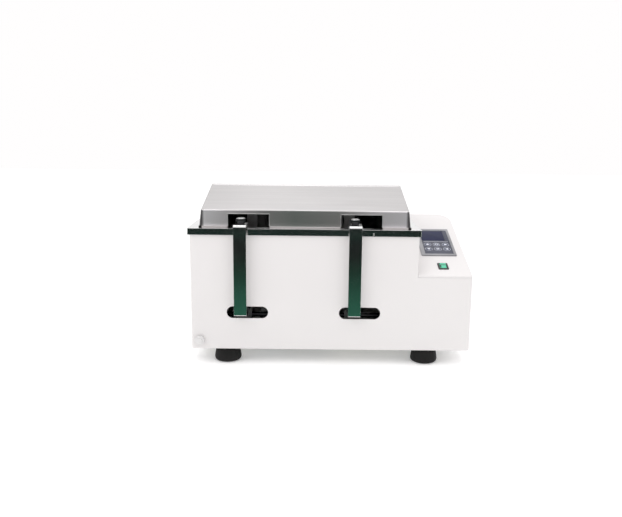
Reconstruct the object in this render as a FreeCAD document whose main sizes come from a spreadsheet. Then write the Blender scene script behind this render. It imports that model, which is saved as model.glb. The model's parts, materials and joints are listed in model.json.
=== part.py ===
import FreeCAD, Part
import math
import os
import re

import Sketcher

V = FreeCAD.Vector

# A shaking water bath. Every piece is laid out from the casing's front left bottom corner:
# X to the right, Y to the back, Z up. The sheet's centre_x, centre_y and foot_height
# move it all so that the origin is on the floor below the middle of the object.
doc = FreeCAD.newDocument("water_bath")
sheet = doc.addObject("Spreadsheet::Sheet", "Dims")

DIMENSIONS = {
    # casing
    "case_wide": 700, "case_deep": 350, "wall": 2, "case_bend": 6, "tank_end": 564,
    "foot_height": 36, "foot_radius": 34, "foot_inset_x": 88, "foot_inset_y": 33,
    # rim and tank
    "rim_top": 307, "rim_sheet": 1.2, "rim_fold": 16, "rim_overhang": 4.5,
    "tank_left": 34, "tank_right": 534, "tank_front": 25, "tank_back": 325, "tank_floor": 125,
    # console
    "console_front": 194, "console_rear_radius": 42, "cover_skirt": 5,
    # lid
    "lid_left": 22, "lid_right": 544, "lid_lean": 10, "lid_front": 20, "lid_back": 330, "lid_low": 310,
    "lid_skirt": 40, "lid_rise": 52, "lid_sheet": 1.2, "cutout_wide": 101, "cutout_high": 30,
    # arms, their slots and their travel
    "slot_middle": 281, "slot_spacing": 280, "slot_wide": 103, "slot_high": 30, "slot_axis": 96,
    "arm_shift": -15, "arm_wide": 31, "arm_thick": 3, "arm_stand_off": 27, "arm_top": 318,
    "arm_low": 92.5, "arm_bend": 5,
    # drive
    "rod_axis": 70, "rod_radius": 6, "rod_front": 80, "rod_back": 270, "rod_left": 30,
    "rod_long": 474, "frame_thick": 6, "crank_x": 196, "crank_throw": 20, "link_long": 80,
    # platform
    "platform_wide": 410, "platform_deep": 250, "platform_low": 160,
}
for row, (alias, value) in enumerate(DIMENSIONS.items(), start=1):
    sheet.set(f"A{row}", alias)
    sheet.set(f"B{row}", str(value))
    sheet.setAlias(f"B{row}", alias)
derived_row = len(DIMENSIONS) + 1
DERIVED = {
    "centre_x": "=(case_wide - rim_overhang) / 2",
    "centre_y": "=case_deep / 2",
    "slope": "=(rim_top - console_front) / case_deep",
    "arm_left": "=slot_middle - slot_spacing / 2 + arm_shift",
    "arm_right": "=slot_middle + slot_spacing / 2 + arm_shift",
    "frame_low": "=arm_low - frame_thick",
    "crank_dy": "=sqrt(crank_throw * crank_throw - arm_shift * arm_shift)",
}
for row, (alias, formula) in enumerate(DERIVED.items(), start=derived_row):
    sheet.set(f"A{row}", alias)
    sheet.set(f"B{row}", formula)
    sheet.setAlias(f"B{row}", alias)
doc.recompute()


def dim(alias):
    """Value of one cell of the sheet."""
    return float(getattr(sheet, alias))


def bind(thing, path, formula):
    """Binds a property to a formula over the sheet's cells, or sets a plain number."""
    thing.setExpression(path, refer(formula))


def refer(formula):
    """A formula with every alias written as a reference to the sheet."""
    aliases = "|".join(list(DIMENSIONS) + list(DERIVED))
    return re.sub(rf"\b({aliases})\b", r"Dims.\1", str(formula))


def place(thing, x=0, y=0, z=0):
    """Moves a piece from the casing's corner to the object's own origin."""
    bind(thing, "Placement.Base.x", f"{x} - centre_x")
    bind(thing, "Placement.Base.y", f"{y} - centre_y")
    bind(thing, "Placement.Base.z", f"{z} + foot_height")


# --- helpers for bodies made of sketches ---------------------------------------------------

def new_body(label):
    body = doc.addObject("PartDesign::Body", label)
    body.Label = label
    place(body)
    return body


def sketch_on(body, plane, lift="0"):
    """A sketch on one of the body's origin planes, lifted along the plane's normal."""
    drawing = body.newObject("Sketcher::SketchObject", body.Label + "_sketch")
    origin = [face for face in body.Origin.OriginFeatures if face.Role == plane][0]
    drawing.AttachmentSupport = [(origin, "")]
    drawing.MapMode = "FlatFace"
    bind(drawing, "AttachmentOffset.Base.z", lift)
    return drawing


def fix_point(drawing, curve, end, x, y):
    """Holds a point of the sketch at a distance from the origin given by two formulas."""
    for kind, formula in (("DistanceX", x), ("DistanceY", y)):
        index = drawing.addConstraint(Sketcher.Constraint(kind, -1, 1, curve, end, value_of(formula)))
        bind(drawing, f"Constraints[{index}]", formula)


def value_of(formula):
    """A formula's number, to start each sketch close to its final shape."""
    total = sheet.evalExpression(refer(formula))
    return float(getattr(total, "Value", total))


def polygon(drawing, points):
    """A closed outline of straight lines through points given as pairs of formulas."""
    spots = [V(value_of(x), value_of(y), 0) for x, y in points]
    first = drawing.GeometryCount
    for start, end in zip(spots, spots[1:] + spots[:1]):
        drawing.addGeometry(Part.LineSegment(start, end), False)
    for index, (x, y) in enumerate(points):
        following = first + (index + 1) % len(points)
        drawing.addConstraint(Sketcher.Constraint("Coincident", first + index, 2, following, 1))
        fix_point(drawing, first + index, 1, x, y)


def pad(body, drawing, length, reverse=False):
    feature = body.newObject("PartDesign::Pad", body.Label + "_pad")
    feature.Profile = drawing
    feature.Reversed = reverse
    bind(feature, "Length", length)
    doc.recompute()
    return feature


def revolve(body, drawing):
    """Turns an outline in the XZ plane about the body's own Z axis."""
    feature = body.newObject("PartDesign::Revolution", body.Label + "_turning")
    feature.Profile = drawing
    feature.ReferenceAxis = (drawing, ["V_Axis"])
    feature.Angle = 360
    doc.recompute()
    return feature


def fillet(body, chosen, radius):
    """Rounds the edges of the body's latest feature that the test picks."""
    tip = body.Tip
    names = [f"Edge{n}" for n, edge in enumerate(tip.Shape.Edges, start=1) if chosen(edge)]
    feature = body.newObject("PartDesign::Fillet", body.Label + "_fillet")
    feature.Base = (tip, names)
    bind(feature, "Radius", radius)
    doc.recompute()
    return feature


def along(edge, direction):
    """True for a straight edge that runs along one axis."""
    if not isinstance(edge.Curve, Part.Line):
        return False
    return abs(abs(edge.Curve.Direction.dot(direction)) - 1) < 1e-6


def near(edge, x=None, y=None, z=None):
    """True when the middle of an edge lies on the coordinates that are given."""
    middle = edge.BoundBox.Center
    wanted = ((x, middle.x), (y, middle.y), (z, middle.z))
    return all(want is None or abs(want - have) < 0.1 for want, have in wanted)


# --- helpers for pieces made of primitives -------------------------------------------------

def box(name, x, y, z, wide, deep, high):
    thing = doc.addObject("Part::Box", name)
    bind(thing, "Length", wide)
    bind(thing, "Width", deep)
    bind(thing, "Height", high)
    place(thing, x, y, z)
    return thing


def cylinder(name, x, y, z, radius, height, axis=V(0, 0, 1)):
    thing = doc.addObject("Part::Cylinder", name)
    bind(thing, "Radius", radius)
    bind(thing, "Height", height)
    thing.Placement = FreeCAD.Placement(V(), FreeCAD.Rotation(V(0, 0, 1), axis))
    place(thing, x, y, z)
    return thing


def cut(label, base, *tools):
    thing = doc.addObject("Part::Cut", label)
    thing.Base = base
    thing.Tool = tools[0] if len(tools) == 1 else join(label + "_tools", *tools)
    thing.Label = label
    return thing


def join(label, *pieces):
    thing = doc.addObject("Part::MultiFuse", label)
    thing.Shapes = list(pieces)
    thing.Label = label
    return thing


def group(label, *pieces):
    """Several separate solids that share one name."""
    thing = doc.addObject("Part::Compound", label)
    thing.Links = list(pieces)
    thing.Label = label
    return thing


SUB_PARTS = []


def keep(thing):
    SUB_PARTS.append(thing)
    return thing


X_AXIS = V(1, 0, 0)
Y_AXIS = V(0, 1, 0)
Z_AXIS = V(0, 0, 1)


def block(name, x, y, z, wide, deep, high, radii=None, low_radius=None):
    """A box whose four upright edges, front left first and anticlockwise, may be rounded."""
    base = box(name, x, y, z, wide, deep, high)
    doc.recompute()
    if not radii:
        return base
    bounds = base.Shape.BoundBox
    corners = [(bounds.XMin, bounds.YMin), (bounds.XMax, bounds.YMin),
               (bounds.XMax, bounds.YMax), (bounds.XMin, bounds.YMax)]
    picked = []
    for number, edge in enumerate(base.Shape.Edges, start=1):
        for corner, radius in zip(corners, radii):
            if along(edge, Z_AXIS) and near(edge, x=corner[0], y=corner[1]) and radius:
                picked.append((number, radius, radius))
        if low_radius and near(edge, z=bounds.ZMin):
            picked.append((number, low_radius, low_radius))
    rounded = doc.addObject("Part::Fillet", name + "_rounded")
    rounded.Base = base
    rounded.Edges = picked
    return rounded


def prism(name, points, start, length):
    """A solid with one outline in the YZ plane, carried along X."""
    body = new_body(name)
    drawing = sketch_on(body, "YZ_Plane", start)
    polygon(drawing, points)
    pad(body, drawing, length)
    return body


def long_slot(name, x, y, z, wide, high, deep):
    """A tool with round ends along X that cuts through a wall along Y."""
    half = value_of(high) / 2
    middle = box(name, f"{x} - ( {wide} - {high} ) / 2", y, f"{z} - {half}", f"{wide} - {high}", deep, high)
    ends = [cylinder(name + "_end", f"{x} {sign} ( {wide} - {high} ) / 2", y, z, half, deep, Y_AXIS)
            for sign in ("-", "+")]
    return join(name + "_tool", middle, *ends)


SLOPE_ANGLE = math.degrees(math.atan(dim("slope")))
ARM_SIDES = {"left": "arm_left", "right": "arm_right"}
SLOT_CENTRES = ("slot_middle - slot_spacing / 2", "slot_middle + slot_spacing / 2")


def on_console(thing, x, up_slope, above):
    """Sets a piece on the sloping console: x across, up_slope from the front edge, above it."""
    angle = math.radians(SLOPE_ANGLE)
    y = up_slope * math.cos(angle) - above * math.sin(angle)
    z = dim("console_front") + up_slope * math.sin(angle) + above * math.cos(angle)
    base = V(x - dim("centre_x"), y - dim("centre_y"), z + dim("foot_height"))
    thing.Placement = FreeCAD.Placement(base, FreeCAD.Rotation(X_AXIS, SLOPE_ANGLE))
    return thing


def console_box(name, x, up_slope, above, wide, deep, high):
    """A box set on the console, with x and up_slope at its middle and above at its foot."""
    thing = doc.addObject("Part::Box", name)
    thing.Length, thing.Width, thing.Height = wide, deep, high
    return on_console(thing, x - wide / 2, up_slope - deep / 2, above)


def console_cylinder(name, x, up_slope, above, radius, high):
    thing = doc.addObject("Part::Cylinder", name)
    thing.Radius, thing.Height = radius, high
    return on_console(thing, x, up_slope, above)


# --- casing --------------------------------------------------------------------------------

CONSOLE_MIDDLE = 632.5
BEZEL = {"wide": 92, "deep": 156, "middle": 182}
PANEL = {"wide": 74, "deep": 138, "middle": 182}
WINDOW = {"x": 630, "wide": 62, "deep": 56, "middle": 218}
KEY_PLACES = [(x, s) for s in (166, 140) for x in (610, 634, 658)]
KEY_RADIUS = 8
SWITCH = {"x": 633, "middle": 48, "wide": 26, "deep": 31.5}


def outer_casing():
    """Folded sheet with a return flange below, open above, lower under the console."""
    radii = (6, 6, dim("console_rear_radius"), 6)
    inner_radii = (4, 4, dim("console_rear_radius") - 2, 4)
    skin = block("casing_skin", 0, 0, 0, "case_wide", "case_deep", "rim_top - rim_sheet", radii, 5)
    room = block("casing_room", "wall", "wall", "wall", "case_wide - 2 * wall", "case_deep - 2 * wall",
                 "rim_top", inner_radii)
    mouth = box("casing_mouth", 20, 20, -5, "case_wide - 62", "case_deep - 40", 20)
    rear_gap = box("casing_rear_gap", 20, "case_deep - 4", "wall", 634, 10, "rim_top")
    above_console = prism("casing_console_cut", [
        ("-1", "console_front - cover_skirt - 0.3 - slope"),
        ("case_deep + 1", "rim_top - cover_skirt - 0.3 + slope"),
        ("case_deep + 1", "rim_top + 50"), ("-1", "rim_top + 50")], "tank_end", "200")
    slots = [long_slot("casing_slot", x, -3, "slot_axis", "slot_wide", "slot_high", 10)
             for x in SLOT_CENTRES]
    drain_hole = cylinder("casing_drain_hole", 21.5, -3, 24, 8.3, 10, Y_AXIS)
    return cut("outer_casing", skin, room, mouth, rear_gap, above_console, drain_hole, *slots)


def rear_panel():
    """Flat panel behind the rear flanges, with arm slots, louvres and the inlet's window."""
    low = "wall + 0.1"
    plate = box("rear_plate", 8, "case_deep - wall - 1.6", low, "tank_end - 8", 1.5, "rim_top - rim_sheet - wall - 0.5")
    side = box("rear_side", "tank_end", "case_deep - wall - 1.6", low, "660 - tank_end", 1.5, "288 - wall")
    upper = box("rear_upper", "tank_end + rim_overhang + 0.5", "case_deep - wall - 1.6", 287,
                "660 - tank_end - rim_overhang - 0.5", 1.5, "rim_top - cover_skirt - 287.5")
    tools = [long_slot("rear_slot", x, "case_deep - 10", "slot_axis", "slot_wide", "slot_high", 20)
             for x in SLOT_CENTRES]
    tools += [long_slot("rear_louvre", x, "case_deep - 10", 20 + 9 * step, 60, 3.4, 20)
              for x in (281, 616) for step in range(5)]
    tools += [long_slot("rear_vent", 616, "case_deep - 10", 200 + 9 * step, 60, 3.4, 20) for step in range(6)]
    tools.append(box("inlet_window", 596, "case_deep - 10", 100, 28, 20, 21))
    return cut("rear_panel", join("rear_plates", plate, side, upper), *tools)


def base_plate():
    plate = block("base_sheet", 3, 3, "wall", "case_wide - 30", "case_deep - 7", 2, (3, 3, 3, 3))
    holes = [cylinder("base_foot_hole", x, y, 0, 3.3, 10) for x, y in foot_places()]
    vents = [box("base_vent", 230 + 20 * step, 60, 0, 6, 80, 10) for step in range(6)]
    return cut("base_plate", plate, *holes, *vents)


def bulkhead():
    plate = box("bulkhead_sheet", "tank_end - 2", "wall + 0.1", "wall + 2", 2, "case_deep - 2 * wall - 2",
                "rim_top - rim_sheet - wall - 2")
    holes = [cylinder("bulkhead_hole", "tank_end - 10", y, z, 7, 20, X_AXIS)
             for y, z in ((120, 140), (230, 140), (175, 150))]
    return cut("bulkhead", plate, *holes)


def console_cover():
    """Sloping tray turned over: its skirt hides the joint with the casing."""
    top = ("console_front", "rim_top")
    wedge = prism("cover_wedge", [("0", f"{top[0]} - cover_skirt"), ("case_deep", f"{top[1]} - cover_skirt"),
                                  ("case_deep", top[1]), ("0", top[0])], "tank_end + 0.4", "case_wide")
    low_wedge = prism("cover_hollow", [("-5", f"{top[0]} - 30"), ("case_deep + 5", f"{top[1]} - 30"),
                                       ("case_deep + 5", f"{top[1]} - 2 + 5 * slope"),
                                       ("-5", f"{top[0]} - 2 - 5 * slope")], "tank_end - 5", "case_wide")
    outline = block("cover_outline", "tank_end + 0.4", 0, 100, "case_wide - tank_end - 0.4", "case_deep", 300,
                    (0, 6, dim("console_rear_radius"), 0))
    inside = block("cover_inside", "tank_end - 5", "wall", 100, "case_wide - tank_end + 3",
                   "case_deep - 2 * wall", 300, (0, 4, dim("console_rear_radius") - 2, 0))
    shell = common("cover_shell", wedge, outline)
    hollow = common("cover_inner", low_wedge, inside)
    rim_notch = box("cover_rim_notch", "tank_end - 5", 284, 270, "rim_overhang + 7", 100, 60)
    doc.recompute()
    front_edges = [(n, 3.0, 3.0) for n, edge in enumerate(shell.Shape.Edges, start=1)
                   if along(edge, X_AXIS) and edge.BoundBox.ZMin > dim("console_front") + dim("foot_height") - 1
                   and edge.BoundBox.YMax < 1 - dim("centre_y")]
    rolled = doc.addObject("Part::Fillet", "cover_rolled")
    rolled.Base = shell
    rolled.Edges = front_edges
    tools = [hollow, rim_notch,
             console_box("cover_window", CONSOLE_MIDDLE + 2, PANEL["middle"], -10, 66, 128, 20),
             console_box("cover_switch_hole", SWITCH["x"], SWITCH["middle"], -10, 22.4, 28.4, 20)]
    return cut("console_cover", rolled, *tools)


def common(name, first, second):
    thing = doc.addObject("Part::Common", name)
    thing.Base = first
    thing.Tool = second
    return thing


def foot_places():
    left, front = dim("foot_inset_x"), dim("foot_inset_y")
    right, back = dim("case_wide") - 110, dim("case_deep") - front
    return [(left, front), (right, front), (left, back), (right, back)]


def rubber_foot(label, x, y):
    """Flared round foot with a recess below for its screw."""
    body = new_body(label)
    place(body, x, y, "0")
    outline = sketch_on(body, "XZ_Plane")
    polygon(outline, [("6.5", "0"), ("foot_radius - 5", "0"), ("foot_radius - 4", "-8"), ("foot_radius - 1", "-20"),
                      ("foot_radius", "-26"), ("foot_radius - 1", "-31"), ("foot_radius - 5", "-35"),
                      ("foot_radius - 9", "-foot_height"), ("9", "-foot_height"), ("9", "-14"), ("6.5", "-14")])
    revolve(body, outline)
    return body


def foot_screws():
    pieces = []
    for x, y in foot_places():
        shank = cylinder("foot_screw_shank", x, y, -14, 3, 24)
        head = cylinder("foot_screw_head", x, y, -20, 6, 6)
        nut = cylinder("foot_screw_nut", x, y, "wall + 2", 5.5, 5)
        sleeve = cylinder("foot_screw_sleeve", x, y, -14, 6.3, 14)
        pieces.append(join("foot_screw", shank, head, nut, sleeve))
    return group("foot_screws", *pieces)


def feet():
    names = ("front_left_foot", "front_right_foot", "rear_left_foot", "rear_right_foot")
    for name, (x, y) in zip(names, foot_places()):
        keep(rubber_foot(name, x, y))


# --- tank and lid --------------------------------------------------------------------------

def tank():
    """Deep tank hanging by its rim, which is folded down round the casing's top."""
    over, sheet_thick = "rim_overhang", "rim_sheet"
    fold = block("rim_fold", f"-{over}", f"-{over}", "rim_top - rim_fold", f"tank_end + 2 * {over}",
                 f"case_deep + 2 * {over}", "rim_fold", (3, 3, 3, 3))
    under = block("rim_under", f"{sheet_thick} - {over}", f"{sheet_thick} - {over}", "rim_top - rim_fold - 1",
                  f"tank_end + 2 * ( {over} - {sheet_thick} )", f"case_deep + 2 * ( {over} - {sheet_thick} )",
                  f"rim_fold + 1 - {sheet_thick}", (2, 2, 2, 2))
    pan_radii = (20, 20, 20, 20)
    pan = block("tank_pan", f"tank_left - {sheet_thick}", f"tank_front - {sheet_thick}",
                f"tank_floor - {sheet_thick}", f"tank_right - tank_left + 2 * {sheet_thick}",
                f"tank_back - tank_front + 2 * {sheet_thick}", "rim_top - tank_floor", pan_radii)
    inner_radii = (18.8, 18.8, 18.8, 18.8)
    water = block("tank_water", "tank_left", "tank_front", "tank_floor", "tank_right - tank_left",
                  "tank_back - tank_front", "rim_top", inner_radii)
    drain = cylinder("tank_drain_hole", 60, 50, "tank_floor - 10", 5, 20)
    ports = [cylinder("tank_port", "tank_right - 5", y, z, 4.2, 10, X_AXIS)
             for y, z in ((120, 140), (230, 140), (175, 150))]
    whole = join("tank_whole", cut("rim_plate", fold, under), pan)
    return cut("tank", whole, water, drain, *ports)


def insulation_pads():
    front = box("insulation_front", 45, 4, 135, 480, 17, 150)
    back = box("insulation_back", 45, "case_deep - 21", 135, 480, 16, 150)
    left = box("insulation_left", 4, 45, 135, 26, 260, 150)
    right = box("insulation_right", 538, 45, 170, 22, 260, 115)
    return group("insulation_pads", front, back, left, right)


def roof_outline(inset):
    """Half the roof's outline mirrored about its ridge, inset all round but open below."""
    front, back = f"lid_front + {inset}", f"lid_back - {inset}"
    eaves = f"lid_low + lid_skirt - {inset}"
    ridge = f"lid_low + lid_skirt + lid_rise - {inset}"
    middle = "( lid_front + lid_back ) / 2"
    low = "lid_low" if inset == 0 else "lid_low - 5"
    return [(front, low), (back, low), (back, eaves), (f"{middle} + 9", f"{ridge} - 3"),
            (f"{middle} + 3", ridge), (f"{middle} - 3", ridge), (f"{middle} - 9", f"{ridge} - 3"),
            (front, eaves)]


def roofed_block(name, inset):
    """Block below the roof, inset all round, whose two ends lean in as they rise."""
    roof = prism(name + "_roof", roof_outline(inset), "lid_left - 20", "lid_right - lid_left + 40")
    body = new_body(name + "_ends")
    drawing = sketch_on(body, "XZ_Plane")
    tall = "( lid_skirt + lid_rise )"
    spread, draw_in = f"10 * lid_lean / {tall}", f"( 10 + {tall} ) * lid_lean / {tall}"
    low, high = "lid_low - 10", f"lid_low + {tall} + 10"
    polygon(drawing, [(f"lid_left + {inset} - {spread}", low), (f"lid_right - {inset} + {spread}", low),
                      (f"lid_right - {inset} - {draw_in}", high), (f"lid_left + {inset} + {draw_in}", high)])
    pad(body, drawing, "3 * case_deep").Midplane = True
    doc.recompute()
    return common(name, roof, body)


def lid():
    """Stainless lid with a shallow roof and a skirt that lets the arms through."""
    block_outside = roofed_block("lid_outside", 0)
    doc.recompute()
    outside = doc.addObject("Part::Fillet", "lid_bends")
    outside.Base = block_outside
    outside.Edges = [(n, 3.0, 3.0) for n, edge in enumerate(block_outside.Shape.Edges, start=1) if lid_edge(edge)]
    inside = roofed_block("lid_inside", "lid_sheet")
    gaps = [box("lid_cutout", f"283 {sign} 139.5 - cutout_wide / 2", y, "lid_low - 5", "cutout_wide", 20,
                "cutout_high + 5")
            for sign in ("-", "+") for y in ("lid_front - 10", "lid_back - 10")]
    return cut("lid", outside, inside, *gaps)


def lid_edge(edge):
    """The bends at the eaves, the upright corners and the sloping edges of both ends."""
    low = dim("lid_low") + dim("foot_height")
    if along(edge, X_AXIS):
        return near(edge, z=low + dim("lid_skirt"))
    return edge.BoundBox.ZMax > low + 1


def lid_pads():
    """Rubber buttons that hold the lid clear of the rim."""
    spots = [(x, y) for x in ("lid_left + 2", "lid_right - 2") for y in ("lid_front + 2", "lid_back - 2")]
    return group("lid_pads", *[cylinder("lid_pad", x, y, "rim_top", 4, "lid_low - rim_top") for x, y in spots])


# --- shaking platform and its arms ---------------------------------------------------------

def mirrored_y(formula, side):
    """A Y place at the front, or the same place mirrored to the rear."""
    return formula if side == "front" else f"case_deep - ( {formula} )"


def bent_bar(label, side, middle, points, wide):
    """Flat bar whose edge outline lies in the YZ plane, at the front or mirrored to the rear."""
    body = new_body(label)
    drawing = sketch_on(body, "YZ_Plane", f"{middle} - {wide} / 2")
    polygon(drawing, [(mirrored_y(y, side), z) for y, z in points])
    pad(body, drawing, wide)
    return body


def arm(label, side, middle):
    """C-shaped flat bar: over the rim, down in front of the casing and in through its slot."""
    out, inner = "-arm_stand_off", "arm_thick - arm_stand_off"
    points = [("22.5", "arm_top"), (out, "arm_top"), (out, "arm_low"), ("40", "arm_low"),
              ("40", "arm_low + arm_thick"), (inner, "arm_low + arm_thick"), (inner, "arm_top - arm_thick"),
              ("22.5", "arm_top - arm_thick")]
    body = bent_bar(label, side, middle, points, "arm_wide")
    outer_y = value_of(mirrored_y(out, side))
    inner_y = value_of(mirrored_y(inner, side))
    fillet(body, lambda edge: along(edge, X_AXIS) and near(edge, y=outer_y), "arm_bend")
    fillet(body, lambda edge: along(edge, X_AXIS) and near(edge, y=inner_y), "arm_bend - arm_thick")
    stud = cylinder(label + "_stud_hole", middle, mirrored_y("9", side), "arm_top - 10", 3.06, 20)
    bolts = [cylinder(label + "_bolt_hole", middle, mirrored_y(y, side), "arm_low - 5", 2.6, 12)
             for y in ("18", "32")]
    body.Label = label + "_bar"
    return cut(label, body, stud, *bolts)


def knob(label, side, middle):
    """Round screw knob with a waist under its head; the stud clamps arm to hanger."""
    body = new_body(label)
    place(body, middle, mirrored_y("9", side), "arm_top")
    outline = sketch_on(body, "XZ_Plane")
    polygon(outline, [("0", "-8"), ("3", "-8"), ("3", "0.1"), ("8", "0.1"), ("8", "4"), ("11.5", "5"),
                      ("12.5", "6"), ("12.5", "13"), ("11.5", "14"), ("0", "14")])
    revolve(body, outline)
    return body


def platform_hangers():
    pieces = []
    for side in ("front", "rear"):
        for middle in ARM_SIDES.values():
            points = [("-0.5", "arm_top - arm_thick - 0.1"), ("38", "arm_top - arm_thick - 0.1"),
                      ("38", "platform_low - 0.1"), ("65", "platform_low - 0.1"), ("65", "platform_low - 3"),
                      ("35", "platform_low - 3"), ("35", "arm_top - arm_thick - 3"),
                      ("-0.5", "arm_top - arm_thick - 3")]
            body = bent_bar("hanger_bar", side, middle, points, "30")
            hole = cylinder("hanger_hole", middle, mirrored_y("9", side), "arm_top - 10", 3.06, 20)
            pieces.append(cut("hanger_" + side + "_" + middle, body, hole))
    return group("platform_hangers", *pieces)


def platform_left():
    return "( arm_left + arm_right ) / 2 - platform_wide / 2"


def shaking_platform():
    """Perforated tray with a low upturned edge."""
    y = "( case_deep - platform_deep ) / 2"
    tray = block("platform_tray", platform_left(), y, "platform_low", "platform_wide", "platform_deep", 14,
                 (8, 8, 8, 8))
    room = block("platform_room", f"{platform_left()} + 1.5", f"{y} + 1.5", "platform_low + 2",
                 "platform_wide - 3", "platform_deep - 3", 30, (6.5, 6.5, 6.5, 6.5))
    holes = [cylinder("platform_hole", 266 + 25 * i, 175 + 25 * j, 150, 4, 30)
             for i in range(-7, 8) for j in (-4, 0, 4)]
    return cut("shaking_platform", tray, room, *holes)


def flask_clips():
    """Six sprung flask holders: a round foot with four upright fingers each."""
    pieces = []
    for x in (141, 266, 391):
        for y in (120, 230):
            foot = cylinder("clip_foot", x, y, "platform_low + 2", 34, 1.5)
            pieces.append(foot)
            for turn in range(4):
                angle = math.radians(90 * turn)
                wide, deep = (3, 14) if turn % 2 == 0 else (14, 3)
                at_x = x + 31 * round(math.cos(angle)) - wide / 2
                at_y = y + 31 * round(math.sin(angle)) - deep / 2
                pieces.append(box("clip_finger", at_x, at_y, "platform_low + 3.5", wide, deep, 46))
    return group("flask_clips", *pieces)


# --- drive below the tank ------------------------------------------------------------------

def carriage_frame():
    """Two cross bars under the arms, joined by a long bar that the link pulls."""
    cross = [box("frame_cross", f"{x} - 15", 8, "frame_low", 30, "case_deep - 16", "frame_thick")
             for x in ARM_SIDES.values()]
    spine = box("frame_spine", "arm_left", 158, "frame_low", "arm_right - arm_left", 34, "frame_thick")
    pin_x, pin_y = link_end()
    pin = cylinder("frame_pin", pin_x, pin_y, "frame_low - 8", 3.95, 8.5)
    holes = [cylinder("frame_hole", x, mirrored_y(y, side), "frame_low - 5", 2.6, 20)
             for x in ARM_SIDES.values() for side in ("front", "rear") for y in ("18", "32")]
    return cut("carriage_frame", join("frame_bars", *cross, spine, pin), *holes)


def bearing_blocks():
    pieces = []
    for x in ARM_SIDES.values():
        for y in ("rod_front", "rod_back"):
            base = box("bearing_base", f"{x} - 20", f"{y} - 15", "rod_axis - 12", 40, 30, "frame_low - rod_axis + 12")
            bore = cylinder("bearing_bore", f"{x} - 30", y, "rod_axis", "rod_radius + 0.05", 60, X_AXIS)
            pieces.append(cut("bearing_" + x + "_" + y, base, bore))
    return group("bearing_blocks", *pieces)


def arm_bolts():
    pieces = []
    for x in ARM_SIDES.values():
        for side in ("front", "rear"):
            for y in ("18", "32"):
                shank = cylinder("bolt_shank", x, mirrored_y(y, side), "frame_low", 2.5, "frame_thick + arm_thick")
                head = cylinder("bolt_head", x, mirrored_y(y, side), "arm_low + arm_thick", 4.5, 4)
                pieces.append(join("arm_bolt", shank, head))
    return group("arm_bolts", *pieces)


def guide_rod(label, y):
    rod = cylinder(label, "rod_left", y, "rod_axis", "rod_radius", "rod_long", X_AXIS)
    rod.Label = label
    return rod


def rod_supports():
    pieces = []
    for x in ("rod_left", "rod_left + rod_long - 16"):
        for y in ("rod_front", "rod_back"):
            base = box("support_base", x, f"{y} - 14", "wall + 2", 16, 28, "rod_axis + 10 - wall - 2")
            bore = cylinder("support_bore", f"{x} - 5", y, "rod_axis", "rod_radius + 0.02", 40, X_AXIS)
            pieces.append(cut("rod_support", base, bore))
    return group("rod_supports", *pieces)


def link_end():
    """Where the link's far eye meets the carriage's pin at rest."""
    reach = math.sqrt(dim("link_long") ** 2 - dim("crank_dy") ** 2)
    return dim("crank_x") + dim("arm_shift") + reach, dim("case_deep") / 2


def con_rod():
    """Flat link from above the crank's pin to the pin under the carriage."""
    start = V(dim("crank_x") + dim("arm_shift"), dim("case_deep") / 2 + dim("crank_dy"), 0)
    pin_x, pin_y = link_end()
    angle = math.degrees(math.atan2(pin_y - start.y, pin_x - start.x))
    bar = doc.addObject("Part::Box", "link_bar")
    bind(bar, "Length", "link_long")
    bar.Width, bar.Height = 12, 5
    turn = FreeCAD.Rotation(Z_AXIS, angle)
    corner = start + turn.multVec(V(0, -6, 0))
    bar.Placement = FreeCAD.Placement(V(), turn)
    place(bar, corner.x, corner.y, "frame_low - 7")
    eyes = [cylinder("link_eye", x, y, "frame_low - 7", 9, 5) for x, y in ((start.x, start.y), (pin_x, pin_y))]
    bores = [cylinder("link_bore", x, y, "frame_low - 20", 4, 30) for x, y in ((start.x, start.y), (pin_x, pin_y))]
    return cut("con_rod", join("link_whole", bar, *eyes), *bores)


def crank_disc():
    disc = cylinder("crank_plate", "crank_x", "case_deep / 2", "frame_low - 19", 30, 7)
    pin = cylinder("crank_pin", "crank_x + arm_shift", "case_deep / 2 + crank_dy", "frame_low - 12", 3.9, 4.5)
    shaft = cylinder("crank_shaft", "crank_x", "case_deep / 2", "frame_low - 40", 6, 22)
    return join("crank_disc", disc, pin, shaft)


def gearbox():
    body = block("gearbox_body", "crank_x - 35", "case_deep / 2 - 28", 12, 70, 56, 48, (5, 5, 5, 5))
    well = cylinder("gearbox_well", "crank_x", "case_deep / 2", "frame_low - 42", 6.05, 60)
    return cut("gearbox", body, well)


def drive_motor():
    can = cylinder("motor_can", "crank_x + 35", "case_deep / 2", 37, 24, 110, X_AXIS)
    boss = cylinder("motor_boss", "crank_x + 145", "case_deep / 2", 37, 10, 6, X_AXIS)
    return join("drive_motor", can, boss)


def motor_bracket():
    """Tray under the gearbox, lifted off the base plate by its two folded edges."""
    top = box("bracket_top", "crank_x - 40", "case_deep / 2 - 45", 10, 80, 90, 2)
    sides = [box("bracket_side", "crank_x - 40", y, "wall + 2", 80, 2, "10 - wall - 2")
             for y in ("case_deep / 2 - 45", "case_deep / 2 + 43")]
    return join("motor_bracket", top, *sides)


# --- heating, sensing and draining ---------------------------------------------------------

def heater_element():
    """Hairpin tube lying above the tank's floor."""
    legs = [cylinder("heater_leg", 60, y, 140, 4, 520, X_AXIS) for y in (120, 230)]
    return join("heater_element", *legs, cylinder("heater_turn", 60, 116, 140, 4, 118, Y_AXIS))


def heater_glands():
    pieces = []
    for y, z in ((120, 140), (230, 140), (175, 150)):
        nut = cylinder("gland_nut", "tank_right + rim_sheet", y, z, 9, 12, X_AXIS)
        bore = cylinder("gland_bore", "tank_right - 5", y, z, 4.05, 40, X_AXIS)
        pieces.append(cut("gland", nut, bore))
    return group("heater_glands", *pieces)


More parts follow.
